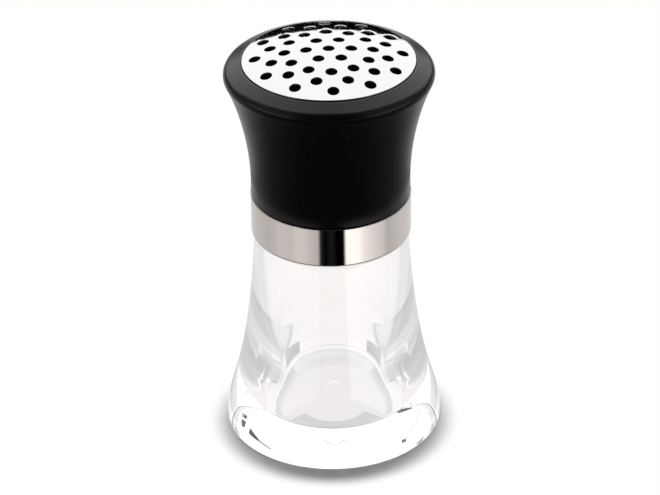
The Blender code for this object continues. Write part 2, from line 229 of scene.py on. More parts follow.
class ShakerStudio(PropertyGroup):
    """Camera and light."""

    camera_distance: length("Camera distance", "From the band's upper edge", 0.7837)
    camera_height: length("Aim height", "Height that the distance is measured from", 0.06907)
    camera_elevation: angle("Camera elevation", "Above the horizon", 29.67)
    camera_pan: angle("Camera pan", "Turn to the right", -0.031)
    camera_tilt: angle("Camera tilt", "Turn upwards", -1.112)
    camera_roll: angle("Camera roll", "Turn about the line of sight", -0.86)
    lens: number("Focal length", "In millimetres, on a sensor 36 mm wide", 163.64)
    fill: number("Fill", "Brightness of the surround as it lights matt surfaces", 0.22)
    softbox: number("Softbox", "Radiance of the softbox above and behind", 2.6)
    floor_gap: length("Floor gap", "How far the floor lies under the foot", 0.0001)


# Outlines

JAR_FLANK_SHARES = ((1.0, 0.203), (0.30, 0.206))
COLLAR_FLANK_SHARES = ((-0.136, 0.438), (0.59, 0.847))
HOLE_ROW_SHARES = ((0.259, 6, 0.0), (0.508, 12, 0.0), (0.688, 12, 0.5), (0.849, 12, 0.0))


def corner(radius, height, size=0.0):
    """One corner of an outline, rounded to a radius of size."""
    return Vector((radius, height)), size


def flank(start, end, shares):
    """Corners along a smooth curve: its handles are shares of the way to the wider end."""
    narrow, wide = sorted((start[0].x, end[0].x))
    low, high = start[0].y, end[0].y
    first, second = [
        Vector((narrow + (wide - narrow) * across, low + (high - low) * up))
        for across, up in shares
    ]
    corners = []
    for step in range(1, CURVE_STEPS):
        along = step / CURVE_STEPS
        back = 1 - along
        point = start[0] * back**3 + end[0] * along**3
        point += first * (3 * back**2 * along) + second * (3 * back * along**2)
        corners.append((point, 0.0))
    return corners


def wall(start, end, spacing):
    """Corners along a straight wall, close enough together to hold a thread."""
    steps = math.ceil((end[0] - start[0]).length / spacing)
    return [(start[0].lerp(end[0], step / steps), 0.0) for step in range(1, steps)]


def neighbour(corners, index, step):
    """Place of the nearest corner that way which isn't taken up by this one's round."""
    place, size = corners[index]
    at = (index + step) % len(corners)
    while not corners[at][1] and (corners[at][0] - place).length < size:
        at = (at + step) % len(corners)
    return corners[at][0]


def rounded(corners, closed):
    """The outline's points, with an arc in place of each corner that has a size."""
    points = []
    last = len(corners) - 1
    cleared = None
    for index, (place, size) in enumerate(corners):
        if not size or (not closed and index in (0, last)):
            if cleared and (place - cleared[0]).length <= cleared[1]:
                continue
            points.append(place)
            continue
        back = (neighbour(corners, index, -1) - place).normalized()
        ahead = (neighbour(corners, index, 1) - place).normalized()
        half = back.angle(ahead) / 2
        centre = place + (back + ahead).normalized() * (size / math.sin(half))
        tangent = size / math.tan(half)
        while points and (points[-1] - place).length <= tangent:
            points.pop()
        cleared = place, tangent
        first = place + back * tangent - centre
        turn = first.angle_signed(place + ahead * tangent - centre)
        steps = math.ceil(max(abs(turn) / ARC_STEP, abs(turn) * size / ARC_LENGTH))
        for step in range(steps + 1):
            points.append(centre + Matrix.Rotation(-turn * step / steps, 2) @ first)
    return points


# Meshes


def ring_place(radius, index, height):
    spin = math.tau * index / SEGMENTS
    return radius * math.cos(spin), radius * math.sin(spin), height


def add_rings(bm, points):
    """Rings of vertices for an outline. A point on the axis gives one shared vertex."""
    rings = []
    for point in points:
        if point.x < TINY:
            rings.append([bm.verts.new((0.0, 0.0, point.y))] * SEGMENTS)
        else:
            rings.append([
                bm.verts.new(ring_place(point.x, index, point.y)) for index in range(SEGMENTS)
            ])
    return rings


def join_rings(bm, lower, upper):
    count = len(lower)
    for index in range(count):
        after = (index + 1) % count
        around = (lower[index], lower[after], upper[after], upper[index])
        bm.faces.new(list(dict.fromkeys(around)))


def finished(name, bm, material, slot, body, *nodes):
    """An object that stands for solids and rides on their body."""
    bmesh.ops.recalc_face_normals(bm, faces=bm.faces)
    mesh = bpy.data.meshes.new(name)
    bm.to_mesh(mesh)
    bm.free()
    mesh.materials.append(material)
    mesh.shade_smooth()
    mesh.set_sharp_from_angle(angle=SHARP_ANGLE)
    piece = bpy.data.objects.new(name, mesh)
    bpy.context.scene.collection.objects.link(piece)
    even = piece.modifiers.new("even_shading", "WEIGHTED_NORMAL")
    even.keep_sharp = True
    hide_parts(*nodes)
    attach(piece, body)
    return piece


def turned(corners, closed=True):
    """A mesh turned about the middle axis."""
    bm = bmesh.new()
    rings = add_rings(bm, rounded(corners, closed))
    for lower, upper in zip(rings, rings[1:]):
        join_rings(bm, lower, upper)
    if closed:
        join_rings(bm, rings[-1], rings[0])
    return bm


def raise_thread(bm, thread, wall_radius, outward, start_height, start_turn, turns):
    """Moves the vertices of a plain wall out into a helical ridge that dies away at its ends."""
    slope = (thread.root_width - thread.crest_width) / 2
    for vert in bm.verts:
        radius = math.hypot(vert.co.x, vert.co.y)
        if abs(radius - wall_radius) > TINY:
            continue
        turn = math.atan2(vert.co.y, vert.co.x) / math.tau - start_turn
        level = (vert.co.z - start_height) / thread.lead
        along = turn + round(level - turn)
        from_end = min(along, turns - along)
        if from_end <= 0:
            continue
        off_middle = abs(level - along) * thread.lead
        full = min(1.0, (thread.root_width / 2 - off_middle) / slope)
        if full <= 0:
            continue
        rise = thread.depth * full * min(1.0, from_end / thread.taper_share)
        vert.co.x *= 1 + outward * rise / radius
        vert.co.y *= 1 + outward * rise / radius


# Shaders

# Mirrorings inside the jar after which the renderer gives a ray up, and the heights in the
# jar between which the painted glow that stands in for such a ray turns from the low tone to the
# high one
MIRRORINGS = 5
LOW_GLOW_TOP = 0.03
HIGH_GLOW_FOOT = 0.036

# Real sizes of what shows in each surface: how far apart its swells, grains or marks are
GLASS_SWELL = 0.012
SILICONE_MOTTLE = 0.0015
INSERT_GRAIN = 0.0003
COLLAR_GRAIN = 0.00025
HANDLED_PATCH = 0.009
BUFF_RING = 0.0004
PRESS_RIPPLE = 0.006
POLISH_MOTTLE = 0.0008


def add(tree, kind, links=None, **settings):
    """Adds a node, sets what it says and joins or sets its inputs."""
    made = tree.nodes.new(kind)
    for key, value in settings.items():
        setattr(made, key, value)
    for key, value in (links or {}).items():
        if isinstance(value, bpy.types.NodeSocket):
            tree.links.new(value, made.inputs[key])
        else:
            made.inputs[key].default_value = value
    return made


def ramp_stops(ramp, stops, tint=(1.0, 1.0, 1.0)):
    """Gives a colour ramp its stops: places with grey values, which a tint may warm."""
    while len(ramp.elements) < len(stops):
        ramp.elements.new(1.0)
    for element, (place, value) in zip(ramp.elements, stops):
        element.position = place
        element.color = (*(value * share for share in tint), 1.0)


def new_material(name):
    """A material with an empty tree but for its output, and the tree."""
    material = bpy.data.materials.new(name)
    material.use_nodes = True
    tree = material.node_tree
    tree.nodes.clear()
    return material, tree


def surface(tree, shader):
    add(tree, "ShaderNodeOutputMaterial", {"Surface": shader.outputs[0]})


def clear_glass(finish):
    """Clear soda-lime glass, pressed, blown and fire polished: colourless, with the faint
    swell that the gob leaves as it stretches.

    Light runs along the thick wall in many mirrorings. The renderer gives up on a ray after
    five of them. There the glass glows with painted light in place of what the ray would have
    met: the pale table if it is low in the jar, and the black cap if it is high.
    """
    material, tree = new_material("glass_clear_blown")
    material.cycles.emission_sampling = "NONE"
    place = add(tree, "ShaderNodeTexCoord")
    swell = add(tree, "ShaderNodeTexNoise", {
        "Vector": place.outputs["Object"], "Scale": 1 / GLASS_SWELL, "Detail": 1.0,
    })
    bump = add(tree, "ShaderNodeBump", {
        "Height": swell.outputs["Fac"], "Strength": 0.05, "Distance": 0.0002,
    })
    path = add(tree, "ShaderNodeLightPath")
    # Painted glow: a spent ray makes the glass glow, with the low tone low in the jar and the
    # high tone higher up
    spent = add(tree, "ShaderNodeMath", {
        0: path.outputs["Glossy Depth"], 1: MIRRORINGS - 0.5,
    }, operation="GREATER_THAN")
    height = add(tree, "ShaderNodeSeparateXYZ", {"Vector": place.outputs["Object"]})
    tone = add(tree, "ShaderNodeMapRange", {
        "Value": height.outputs["Z"], "From Min": LOW_GLOW_TOP, "From Max": HIGH_GLOW_FOOT,
        "To Min": finish.glass_low_glow, "To Max": finish.glass_high_glow,
    })
    spent_glow = add(tree, "ShaderNodeMath", {
        0: spent.outputs[0], 1: tone.outputs["Result"],
    }, operation="MULTIPLY")
    shader = add(tree, "ShaderNodeBsdfPrincipled", {
        "Base Color": (*finish.glass, 1.0), "Roughness": 0.0, "IOR": 1.52,
        "Transmission Weight": 1.0, "Normal": bump.outputs["Normal"],
        "Emission Color": (1.0, 1.0, 1.0, 1.0), "Emission Strength": spent_glow.outputs[0],
    })
    surface(tree, shader)
    return material


def moulded_silicone(finish):
    """Compression-moulded silicone: milky and soft, with a faint dusty mottle."""
    material, tree = new_material("silicone_moulded")
    place = add(tree, "ShaderNodeTexCoord")
    mottle = add(tree, "ShaderNodeTexNoise", {
        "Vector": place.outputs["Object"], "Scale": 1 / SILICONE_MOTTLE, "Detail": 3.0,
    })
    rough = add(tree, "ShaderNodeMapRange", {
        "Value": mottle.outputs["Fac"], "To Min": 0.45, "To Max": 0.7,
    })
    shader = add(tree, "ShaderNodeBsdfPrincipled", {
        "Base Color": (*finish.silicone, 1.0), "Roughness": rough.outputs["Result"], "IOR": 1.41,
        "Subsurface Weight": 0.3, "Subsurface Scale": 0.001,
    })
    surface(tree, shader)
    return material


def black_insert(finish):
    """Moulded black polypropylene, never polished: dull, with a fine eroded grain."""
    material, tree = new_material("polypropylene_moulded")
    place = add(tree, "ShaderNodeTexCoord")
    grain = add(tree, "ShaderNodeTexNoise", {
        "Vector": place.outputs["Object"], "Scale": 1 / INSERT_GRAIN, "Detail": 2.0,
    })
    bump = add(tree, "ShaderNodeBump", {
        "Height": grain.outputs["Fac"], "Strength": 0.3, "Distance": 0.00002,
    })
    shader = add(tree, "ShaderNodeBsdfPrincipled", {
        "Base Color": (*finish.insert, 1.0), "Roughness": 0.5, "IOR": 1.49,
        "Normal": bump.outputs["Normal"],
    })
    surface(tree, shader)
    return material


def satin_collar(finish):
    """ABS moulded in a spark-eroded tool: a deep satin black whose grain breaks up highlights,
    with the faint warm cast of its carbon black.

    The real grain is about 0.05 mm. It is drawn at 0.25 mm so that it just shows.
    """
    material, tree = new_material("abs_satin_moulded")
    place = add(tree, "ShaderNodeTexCoord")
    grain = add(tree, "ShaderNodeTexNoise", {
        "Vector": place.outputs["Object"], "Scale": 1 / COLLAR_GRAIN, "Detail": 2.0,
    })
    bump = add(tree, "ShaderNodeBump", {
        "Height": grain.outputs["Fac"], "Strength": 0.25, "Distance": 0.00001,
    })
    handling = add(tree, "ShaderNodeTexNoise", {
        "Vector": place.outputs["Object"], "Scale": 1 / HANDLED_PATCH, "Detail": 3.0,
    })
    rough = add(tree, "ShaderNodeMapRange", {
        "Value": handling.outputs["Fac"],
        "To Min": finish.collar_roughness * 0.92, "To Max": finish.collar_roughness * 1.08,
    })
    shader = add(tree, "ShaderNodeBsdfPrincipled", {
        "Base Color": (*finish.collar, 1.0), "Roughness": rough.outputs["Result"], "IOR": 1.54,
        "Specular IOR Level": 0.45, "Specular Tint": (1.0, 0.88, 0.91, 1.0),
        "Normal": bump.outputs["Normal"],
    })
    surface(tree, shader)
    return material


def polished_band(finish):
    """Stainless steel strip, drawn and buffed to a mirror while it turned: warm grey, with
    the finest rings of the buff still in it. They are drawn 0.4 mm apart so that they show."""
    material, tree = new_material("stainless_mirror_buffed")
    place = add(tree, "ShaderNodeTexCoord")
    height = add(tree, "ShaderNodeSeparateXYZ", {"Vector": place.outputs["Object"]})
    rings = add(tree, "ShaderNodeTexNoise", {
        "W": height.outputs["Z"], "Scale": 1 / BUFF_RING, "Detail": 3.0,
    }, noise_dimensions="1D")
    bump = add(tree, "ShaderNodeBump", {
        "Height": rings.outputs["Fac"], "Strength": 0.12, "Distance": 0.00001,
    })
    rough = add(tree, "ShaderNodeMapRange", {
        "Value": rings.outputs["Fac"],
        "To Min": finish.band_roughness * 0.7, "To Max": finish.band_roughness * 1.3,
    })
    shader = add(tree, "ShaderNodeBsdfPrincipled", {
        "Base Color": (*finish.band, 1.0), "Metallic": 1.0, "Roughness": rough.outputs["Result"],
        "Normal": bump.outputs["Normal"],
    })
    surface(tree, shader)
    return material


def polished_plate(finish):
    """Stainless steel sheet, pressed, punched and polished: bright and even, a little
    softer than the band, with a faint ripple from the press."""
    material, tree = new_material("stainless_pressed_polished")
    place = add(tree, "ShaderNodeTexCoord")
    ripple = add(tree, "ShaderNodeTexNoise", {
        "Vector": place.outputs["Object"], "Scale": 1 / PRESS_RIPPLE, "Detail": 2.0,
    })
    bump = add(tree, "ShaderNodeBump", {
        "Height": ripple.outputs["Fac"], "Strength": 0.05, "Distance": 0.0001,
    })
    polish = add(tree, "ShaderNodeTexNoise", {
        "Vector": place.outputs["Object"], "Scale": 1 / POLISH_MOTTLE, "Detail": 3.0,
    })
    rough = add(tree, "ShaderNodeMapRange", {
        "Value": polish.outputs["Fac"],
        "To Min": finish.plate_roughness * 0.8, "To Max": finish.plate_roughness * 1.2,
    })
    shader = add(tree, "ShaderNodeBsdfPrincipled", {
        "Base Color": (*finish.plate, 1.0), "Metallic": 1.0, "Roughness": rough.outputs["Result"],
        "Normal": bump.outputs["Normal"],
    })
    surface(tree, shader)
    return material


# Pieces


def neck_ridge_start(jar, thread):
    """Height of the middle of the neck's ridge at its lower end."""
    return jar.mouth_height - jar.neck_height + thread.inset + thread.root_width / 2


def ridge_turns(jar, thread, start):
    """Turns that fit between a ridge's first middle and the jar's lip."""
    return (jar.mouth_height - thread.inset - thread.root_width / 2 - start) / thread.lead


class SHAKER_OT_jar(Operator):
    """Builds the clear jar with its threaded neck"""

    bl_idname = "shaker.jar"
    bl_label = "Jar"

    def execute(self, context):
        jar = context.scene.shaker_jar
        thread = context.scene.shaker_thread
        shoulder_height = jar.mouth_height - jar.neck_height
        bottom = corner(jar.foot_radius, 0.0, jar.foot_round)
        shoulder = corner(jar.shoulder_radius, shoulder_height, jar.shoulder_round)
        root = corner(jar.neck_radius, shoulder_height, jar.neck_root_round)
        lip = corner(jar.neck_radius, jar.mouth_height, jar.lip_round)
        waist = jar.throat_radius - jar.waist_inset
        dimple_floor = jar.floor_thickness - jar.dimple_depth
        outline = [corner(0.0, 0.0), bottom]
        outline += flank(bottom, shoulder, JAR_FLANK_SHARES)
        outline += [shoulder, root]
        outline += wall(
            corner(jar.neck_radius, shoulder_height + jar.neck_root_round),
            corner(jar.neck_radius, jar.mouth_height - jar.lip_round),
            THREAD_ROW,
        )
        outline += [
            lip,
            corner(jar.throat_radius, jar.mouth_height, jar.lip_round),
            corner(waist, jar.floor_thickness + jar.waist_rise, jar.waist_round),
            corner(waist + jar.floor_flare, jar.floor_thickness, jar.floor_round),
            corner(jar.dimple_radius, jar.floor_thickness),
            corner(jar.dimple_radius - jar.dimple_bevel, dimple_floor),
            corner(0.0, dimple_floor),
        ]
        bm = turned(outline, closed=False)
        start = neck_ridge_start(jar, thread)
        turns = ridge_turns(jar, thread, start)
        raise_thread(bm, thread, jar.neck_radius, 1, start, 0.0, turns)
        material = clear_glass(context.scene.shaker_finishes)
        finished("clear_jar", bm, material, "clear_glass", "jar", "jar")
        return {"FINISHED"}


class SHAKER_OT_seal(Operator):
    """Builds the washer between the jar's lip and the cap"""

    bl_idname = "shaker.seal"
    bl_label = "Seal"

    def execute(self, context):
        cap = context.scene.shaker_cap
        inner = context.scene.shaker_jar.throat_radius + cap.seal_inset
        outer = reach("mouth_seal")
        low, high = foot("mouth_seal"), top("mouth_seal")
        bm = turned([
            corner(inner, low),
            corner(outer, low, cap.seal_round),
            corner(outer, high, cap.seal_round),
            corner(inner, high),
        ])
        material = moulded_silicone(context.scene.shaker_finishes)
        finished("seal_washer", bm, material, "seal_silicone", "seal", "mouth_seal")
        return {"FINISHED"}


class SHAKER_OT_sleeve(Operator):
    """Builds the threaded sleeve inside the cap"""

    bl_idname = "shaker.sleeve"
    bl_label = "Sleeve"

    def execute(self, context):
        jar = context.scene.shaker_jar
        cap = context.scene.shaker_cap
        thread = context.scene.shaker_thread
        low, spigot_top = foot("screw_sleeve"), top("screw_sleeve")
        outer = reach("screw_sleeve")
        bore = outer - cap.sleeve_wall
        spigot = outer - cap.sleeve_shoulder
        spigot_bore = spigot - cap.spigot_wall
        flange_bore = jar.throat_radius + cap.flange_reach
        flange_base = top("mouth_seal") + cap.seat_gap
        flange_top = flange_base + cap.flange_thickness
        mouth_edge = corner(bore, low, cap.sleeve_bevel)
        ceiling = corner(bore, flange_base)
        outline = [mouth_edge, corner(outer, low, cap.sleeve_bevel)]
        outline += [
            corner(outer, flange_top, cap.sleeve_bevel),
            corner(spigot, flange_top),
            corner(spigot, spigot_top, cap.spigot_bevel),
            corner(spigot_bore, spigot_top, cap.spigot_bevel),
            corner(spigot_bore, flange_top + spigot_bore - flange_bore),
            corner(flange_bore, flange_base + cap.flange_land),
            corner(flange_bore, flange_base),
            ceiling,
        ]
        outline += wall(ceiling, corner(bore, low + cap.sleeve_bevel), THREAD_ROW)
        bm = turned(outline)
        lowest = low + cap.sleeve_bevel + thread.root_width / 2
        mean_width = (thread.root_width + thread.crest_width) / 2
        slope = (thread.root_width - thread.crest_width) / 2 / thread.depth
        offset = mean_width - slope * thread.radial_gap + cap.seat_gap
        start_turn = (lowest + offset - neck_ridge_start(jar, thread)) / thread.lead
        turns = ridge_turns(jar, thread, lowest)
        raise_thread(bm, thread, bore, -1, lowest, start_turn, turns)
        material = black_insert(context.scene.shaker_finishes)
        finished("threaded_sleeve", bm, material, "black_insert", "cap", "screw_sleeve")
        return {"FINISHED"}


class SHAKER_OT_band(Operator):
    """Builds the polished steel band"""

    bl_idname = "shaker.band"
    bl_label = "Band"

    def execute(self, context):
        cap = context.scene.shaker_cap
        low, high = foot("steel_band"), top("steel_band")
        outer = reach("steel_band")
        bore = outer - cap.band_gauge
        lip_bore = bore - cap.band_lip
        bm = turned([
            corner(lip_bore, low),
            corner(outer, low, cap.band_gauge),
            corner(outer, high, cap.band_round),
            corner(bore, high),
            corner(bore, low + cap.band_gauge),
            corner(lip_bore, low + cap.band_gauge),
        ])
        material = polished_band(context.scene.shaker_finishes)
        finished("polished_band", bm, material, "band_steel", "cap", "steel_band")
        return {"FINISHED"}


class SHAKER_OT_collar(Operator):
    """Builds the flared black collar"""

    bl_idname = "shaker.collar"
    bl_label = "Collar"

    def execute(self, context):
        cap = context.scene.shaker_cap
        low, high = foot("flared_collar"), top("flared_collar")
        ledge = foot("perforated_dome") - cap.seat_gap
        rebate = reach("perforated_dome") + cap.seat_gap
        lip_bore = reach("perforated_dome") + cap.lip_gap
        grip_bore = reach("screw_sleeve") - cap.sleeve_shoulder + cap.seat_gap
        ring_bore = reach("dome_retaining_ring") - cap.ring_wall
        bottom = corner(reach("steel_band") - cap.collar_inset, low, cap.collar_bevel)
        rim = corner(rebate + cap.rim_width, high - cap.rim_drop, cap.rim_round)
        under_rim = corner(rim[0].x - cap.rim_overhang, rim[0].y - cap.rim_depth)
        outline = [corner(grip_bore, low), bottom]
        outline += flank(bottom, under_rim, COLLAR_FLANK_SHARES)
        outline += [
            under_rim,
            rim,
            corner(lip_bore + cap.lip_land, high, cap.lip_crest_round),
            corner(lip_bore, high, cap.lip_edge_round),
            corner(lip_bore, ledge),
            corner(ring_bore, ledge),
            corner(grip_bore, top("screw_sleeve")),
        ]
        bm = turned(outline)
        material = satin_collar(context.scene.shaker_finishes)
        finished("satin_collar", bm, material, "black_moulding", "cap", "flared_collar")
        return {"FINISHED"}


class SHAKER_OT_ring(Operator):
    """Builds the ring that grips the plate's skirt from inside"""

    bl_idname = "shaker.ring"
    bl_label = "Grip ring"

    def execute(self, context):
        cap = context.scene.shaker_cap
        low, high = foot("dome_retaining_ring"), top("dome_retaining_ring")
        outer = reach("dome_retaining_ring")
        bm = turned([
            corner(outer - cap.ring_wall, low),
            corner(outer, low, cap.ring_bevel),
            corner(outer, high, cap.ring_bevel),
            corner(outer - cap.ring_wall, high),
        ])
        material = black_insert(context.scene.shaker_finishes)
        finished("grip_ring", bm, material, "black_grip", "cap", "dome_retaining_ring")
        return {"FINISHED"}


def hole_places(plate):
    """Middle of each hole as seen from above: one in the middle, then the rows."""
    places = [Vector((0.0, 0.0))]
    for radius_share, count, turn_share in HOLE_ROW_SHARES:
        for index in range(count):
            spin = plate.pattern_turn + math.tau * (index + turn_share) / count
            spoke = Vector((math.cos(spin), math.sin(spin)))
            places.append(spoke * plate.radius * radius_share)
    return places


def plate_grid(outer, holes, hole_reach):
    """Points that fill the plate between its edge and its holes, in even rings."""
    points = []
    rows = round(outer / PLATE_CELL)
    for row in range(1, rows):
        radius = outer * row / rows
        count = round(math.tau * radius / PLATE_CELL)
        for index in range(count):
            spin = math.tau * (index + row % 2 / 2) / count
            point = Vector((radius * math.cos(spin), radius * math.sin(spin)))
            if all((point - hole).length > hole_reach for hole in holes):
                points.append(point)
    return points


def plate_net(outer, holes, hole_radius):
    """Triangles of a flat disc with round holes: points, triangles and each hole's ring."""
    loops = [[Vector(ring_place(outer, index, 0.0)[:2]) for index in range(SEGMENTS)]]
    for hole in holes:
        loop = []
        for side in range(HOLE_SIDES):
            spin = -math.tau * side / HOLE_SIDES
            loop.append(hole + Vector((math.cos(spin), math.sin(spin))) * hole_radius)
        loops.append(loop)
    points = []
    edges = []
    for loop in loops:
        first = len(points)
        points += loop
        edges += [(first + at, first + (at + 1) % len(loop)) for at in range(len(loop))]
    points += plate_grid(outer, holes, hole_radius + PLATE_CELL / 2)
    found, _, faces, _, _, _ = delaunay_2d_cdt(points, edges, [], 0, TINY)
    kept = []
    for face in faces:
        middle = sum((found[at] for at in face), Vector((0.0, 0.0))) / len(face)
        if all((middle - hole).length > hole_radius for hole in holes):
            kept.append(face)
    return found, kept


class SHAKER_OT_plate(Operator):
    """Builds the domed and perforated steel plate"""

    bl_idname = "shaker.plate"
    bl_label = "Plate"

    def execute(self, context):
        plate = context.scene.shaker_plate
        base = foot("perforated_dome")
        sphere = (plate.radius**2 + plate.rise**2) / (2 * plate.rise)
        centre = Vector((0.0, 0.0, base + plate.skirt + plate.rise - sphere))
        inner_share = 1 - plate.gauge / sphere
        bend = plate.radius - plate.edge_reach
        holes = hole_places(plate)
        drawn_in = plate.hole_radius + plate.punch_round
        found, faces = plate_net(bend, holes, drawn_in)
        first_of_hole = SEGMENTS

        def lifted(flat, depth=0.0):
            """The point of the dome over a flat place, that deep in the sheet."""
            out = Vector((flat.x, flat.y, math.sqrt(sphere**2 - flat.length_squared)))
            return centre + out * (1 - depth / sphere)

        def punched(hole, side, radius, depth):
            """A point on the wall of a hole, that deep in the sheet."""
            flat = found[first_of_hole + hole * HOLE_SIDES + side] - holes[hole]
            return lifted(holes[hole] + flat * (radius / drawn_in), depth)

        bm = bmesh.new()
        upper = [bm.verts.new(lifted(point)) for point in found]
        for face in faces:
            bm.faces.new([upper[at] for at in face])
        lower = []
        hole_end = first_of_hole + len(holes) * HOLE_SIDES
        for at, point in enumerate(found):
            if first_of_hole <= at < hole_end:
                hole, side = divmod(at - first_of_hole, HOLE_SIDES)
                place = punched(hole, side, plate.hole_radius, plate.gauge)
            else:
                place = lifted(point, plate.gauge)
            lower.append(bm.verts.new(place))
        for face in faces:
            bm.faces.new([lower[at] for at in reversed(face)])
        for hole in range(len(holes)):
            first = first_of_hole + hole * HOLE_SIDES
            rings = [upper[first:first + HOLE_SIDES]]
            for step in range(1, PUNCH_ROUND_STEPS + 1):
                turn = math.pi / 2 * step / PUNCH_ROUND_STEPS
                radius = drawn_in - plate.punch_round * math.sin(turn)
                depth = plate.punch_round * (1 - math.cos(turn))
                rings.append([
                    bm.verts.new(punched(hole, side, radius, depth))
                    for side in range(HOLE_SIDES)
                ])
            rings.append(lower[first:first + HOLE_SIDES])
            for near, far in zip(rings, rings[1:]):
                join_rings(bm, near, far)
        bore = plate.radius - plate.gauge
        edge_height = base + plate.skirt
        bend_height = lifted(Vector((bend, 0.0))).z
        outline = rounded([
            corner(bend, bend_height),
            corner(plate.radius, edge_height, plate.edge_round),
            corner(plate.radius, base),
            corner(bore, base),
            corner(bore, edge_height - plate.gauge),
            corner(bend * inner_share, bend_height - plate.gauge),
        ], closed=False)
        rings = [upper[:SEGMENTS]] + add_rings(bm, outline[1:-1]) + [lower[:SEGMENTS]]
        for near, far in zip(rings, rings[1:]):
            join_rings(bm, near, far)
        material = polished_plate(context.scene.shaker_finishes)
        finished("punched_plate", bm, material, "plate_steel", "cap", "perforated_dome")
        return {"FINISHED"}


# Studio

# The floor: its half width, its white, and where the shadow that it keeps fades out
FLOOR_HALF_WIDTH = 3.0
LAMINATE = (0.86, 0.86, 0.86, 1.0)
SHADOW_MIDDLE = (0.0, -0.003, 0.0)
SHADOW_FADE_START = 0.028
SHADOW_FADE_END = 0.0344

# Painted shade of the floor under the jar, as it looks through it: shares of the way out, and
# tones
UNDER_FOOT_REACH = 0.04
UNDER_FOOT_TINT = (1.0, 0.97, 0.96)
UNDER_FOOT_PAINTED_SHADE = (
    (0.0, 0.86), (0.36, 0.85), (0.42, 0.66), (0.5, 0.62), (0.68, 0.72), (0.76, 1.0),
)

# Tones of the table that the band mirrors, by shares of a turn from straight behind
BAND_TONES = (
    (0.0, 0.8), (0.14, 0.78), (0.245, 0.74), (0.27, 0.8), (0.295, 0.89), (0.345, 0.86),
    (0.37, 0.97), (0.4, 0.96), (0.42, 0.86), (0.443, 0.75), (0.451, 0.74), (0.459, 0.035),
    (0.475, 0.0), (0.5, 0.015), (0.52, 0.0), (0.545, 0.0), (0.553, 1.75), (0.6, 1.72),
    (0.622, 1.38), (0.646, 1.2), (0.673, 1.06), (0.7, 0.97), (0.725, 0.72), (0.8, 0.85),
    (1.0, 0.8),
)

# Tones of the room that the collar reflects, by shares of a turn from straight behind
ROOM_TONES = (
    (0.0, 0.95), (0.09, 0.72), (0.16, 0.47), (0.2, 0.29), (0.27, 0.11), (0.41, 0.03),
    (0.5, 0.015), (0.59, 0.03), (0.73, 0.1), (0.8, 0.25), (0.84, 0.41), (0.91, 0.66),
    (1.0, 0.95),
)

# The softbox above and behind: its size, and where it stands
SOFTBOX_WIDTH = 1.6
SOFTBOX_DEPTH = 1.2
SOFTBOX_PLACE = (0.0, 0.85, 0.85)

RAY_KINDS = ("camera", "diffuse", "glossy", "transmission", "shadow")
MIRRORED = ("glossy",)
SEEN_THROUGH = ("transmission",)

# Whole rings that only reflections show: name, material, radii, height and rise. The cone
# hides the table's bright tones from the collar, and lets the band mirror them.
RINGS = (
    ("table_tones", "card_table_tones", 0.095, 0.142, 0.001, 0.0),
    ("room_inner", "card_room_tones", 0.032, 0.095, 0.001, 0.0),
    ("room_cone", "card_room_tones", 0.026, 0.142, 0.0673, -0.0663),
    ("room_floor", "card_room_tones", 0.142, 0.95, 0.001, 0.0),
)

# Cards: name, tone, the rays that see it, two radii, the angles where it starts and ends,
# the height of the first edge, the rise to the second, and what each edge climbs sideways
CARDS = (
    ("softbox_face", 1.3, MIRRORED, 1.2, 0.6, 120, 240, 0.29, 1.01),
    ("softbox_top", 1.15, MIRRORED, 0.6, 0.2, 90, 270, 1.3, 0.15),
    ("rear_card", 0.0, MIRRORED, 1.2, 1.2, 90, 270, 0.0, 0.29),
    ("left_flag", 0.25, MIRRORED, 1.1, 1.1, -140, -40, 0.2, 1.7),
    ("right_flag", 0.25, MIRRORED, 1.1, 1.1, 40, 140, 0.2, 1.7),
    ("front_card", 0.03, MIRRORED, 1.1, 1.1, -40, 40, 0.0, 1.9),
    ("ceiling", 0.03, MIRRORED, 0.01, 1.1, -180, 180, 1.9),
    ("lightbox", 1.35, SEEN_THROUGH, 1.2, 1.2, 100, 260, 0.4, 1.1),
    ("horizon", 0.1, SEEN_THROUGH, 1.15, 1.15, 135, 225, 0.0, 0.14),
    ("foot_shadow_left", 0.5, SEEN_THROUGH, 0.031, 0.031, -146, -118, 0.0003, 0.004),
    ("foot_shadow_right", 0.5, SEEN_THROUGH, 0.031, 0.031, 118, 146, 0.0003, 0.004),
    ("front_left_flag", 0.6, SEEN_THROUGH, 1.0, 1.0, -75, -25, 0.27, 1.1),
    ("front_right_flag", 0.6, SEEN_THROUGH, 1.0, 1.0, 25, 75, 0.27, 1.1),
    ("right_stand_foot", 0.15, SEEN_THROUGH, 1.1, 1.1, 125.5, 130.3, 0.655, 0.07),
    ("right_stand_head", 0.15, SEEN_THROUGH, 1.1, 1.1, 125.3, 129.6, 0.7475, 0.042),
    ("right_boom", 0.1, SEEN_THROUGH, 1.1, 1.1, 135.2, 143.5, 0.628, 0.072, -0.022, -0.065),
    ("right_boom_end", 0.45, SEEN_THROUGH, 1.1, 1.1, 143.5, 152, 0.606, 0.026, -0.018, -0.03),
    ("left_panel", 0.15, SEEN_THROUGH, 1.1, 1.1, -147, -134, 0.905, 0.5),
    ("left_boom", 0.6, SEEN_THROUGH, 1.1, 1.1, -148, -127, 0.632, 0.01, 0.205, 0.205),
    ("left_clamp", 0.15, SEEN_THROUGH, 1.1, 1.1, -149.3, -146.5, 0.615, 0.035),
    # Painted shade and light on the floor under the foot, seen only through the jar: a dark sheet
    # under the front and a paler one under the back
    ("foot_front", 0.62, SEEN_THROUGH, 0.0098, 0.0155, -52, 56, -0.00005),
    ("foot_rear", 0.83, SEEN_THROUGH, 0.0146, 0.0204, 125, 235, -0.00005),
)


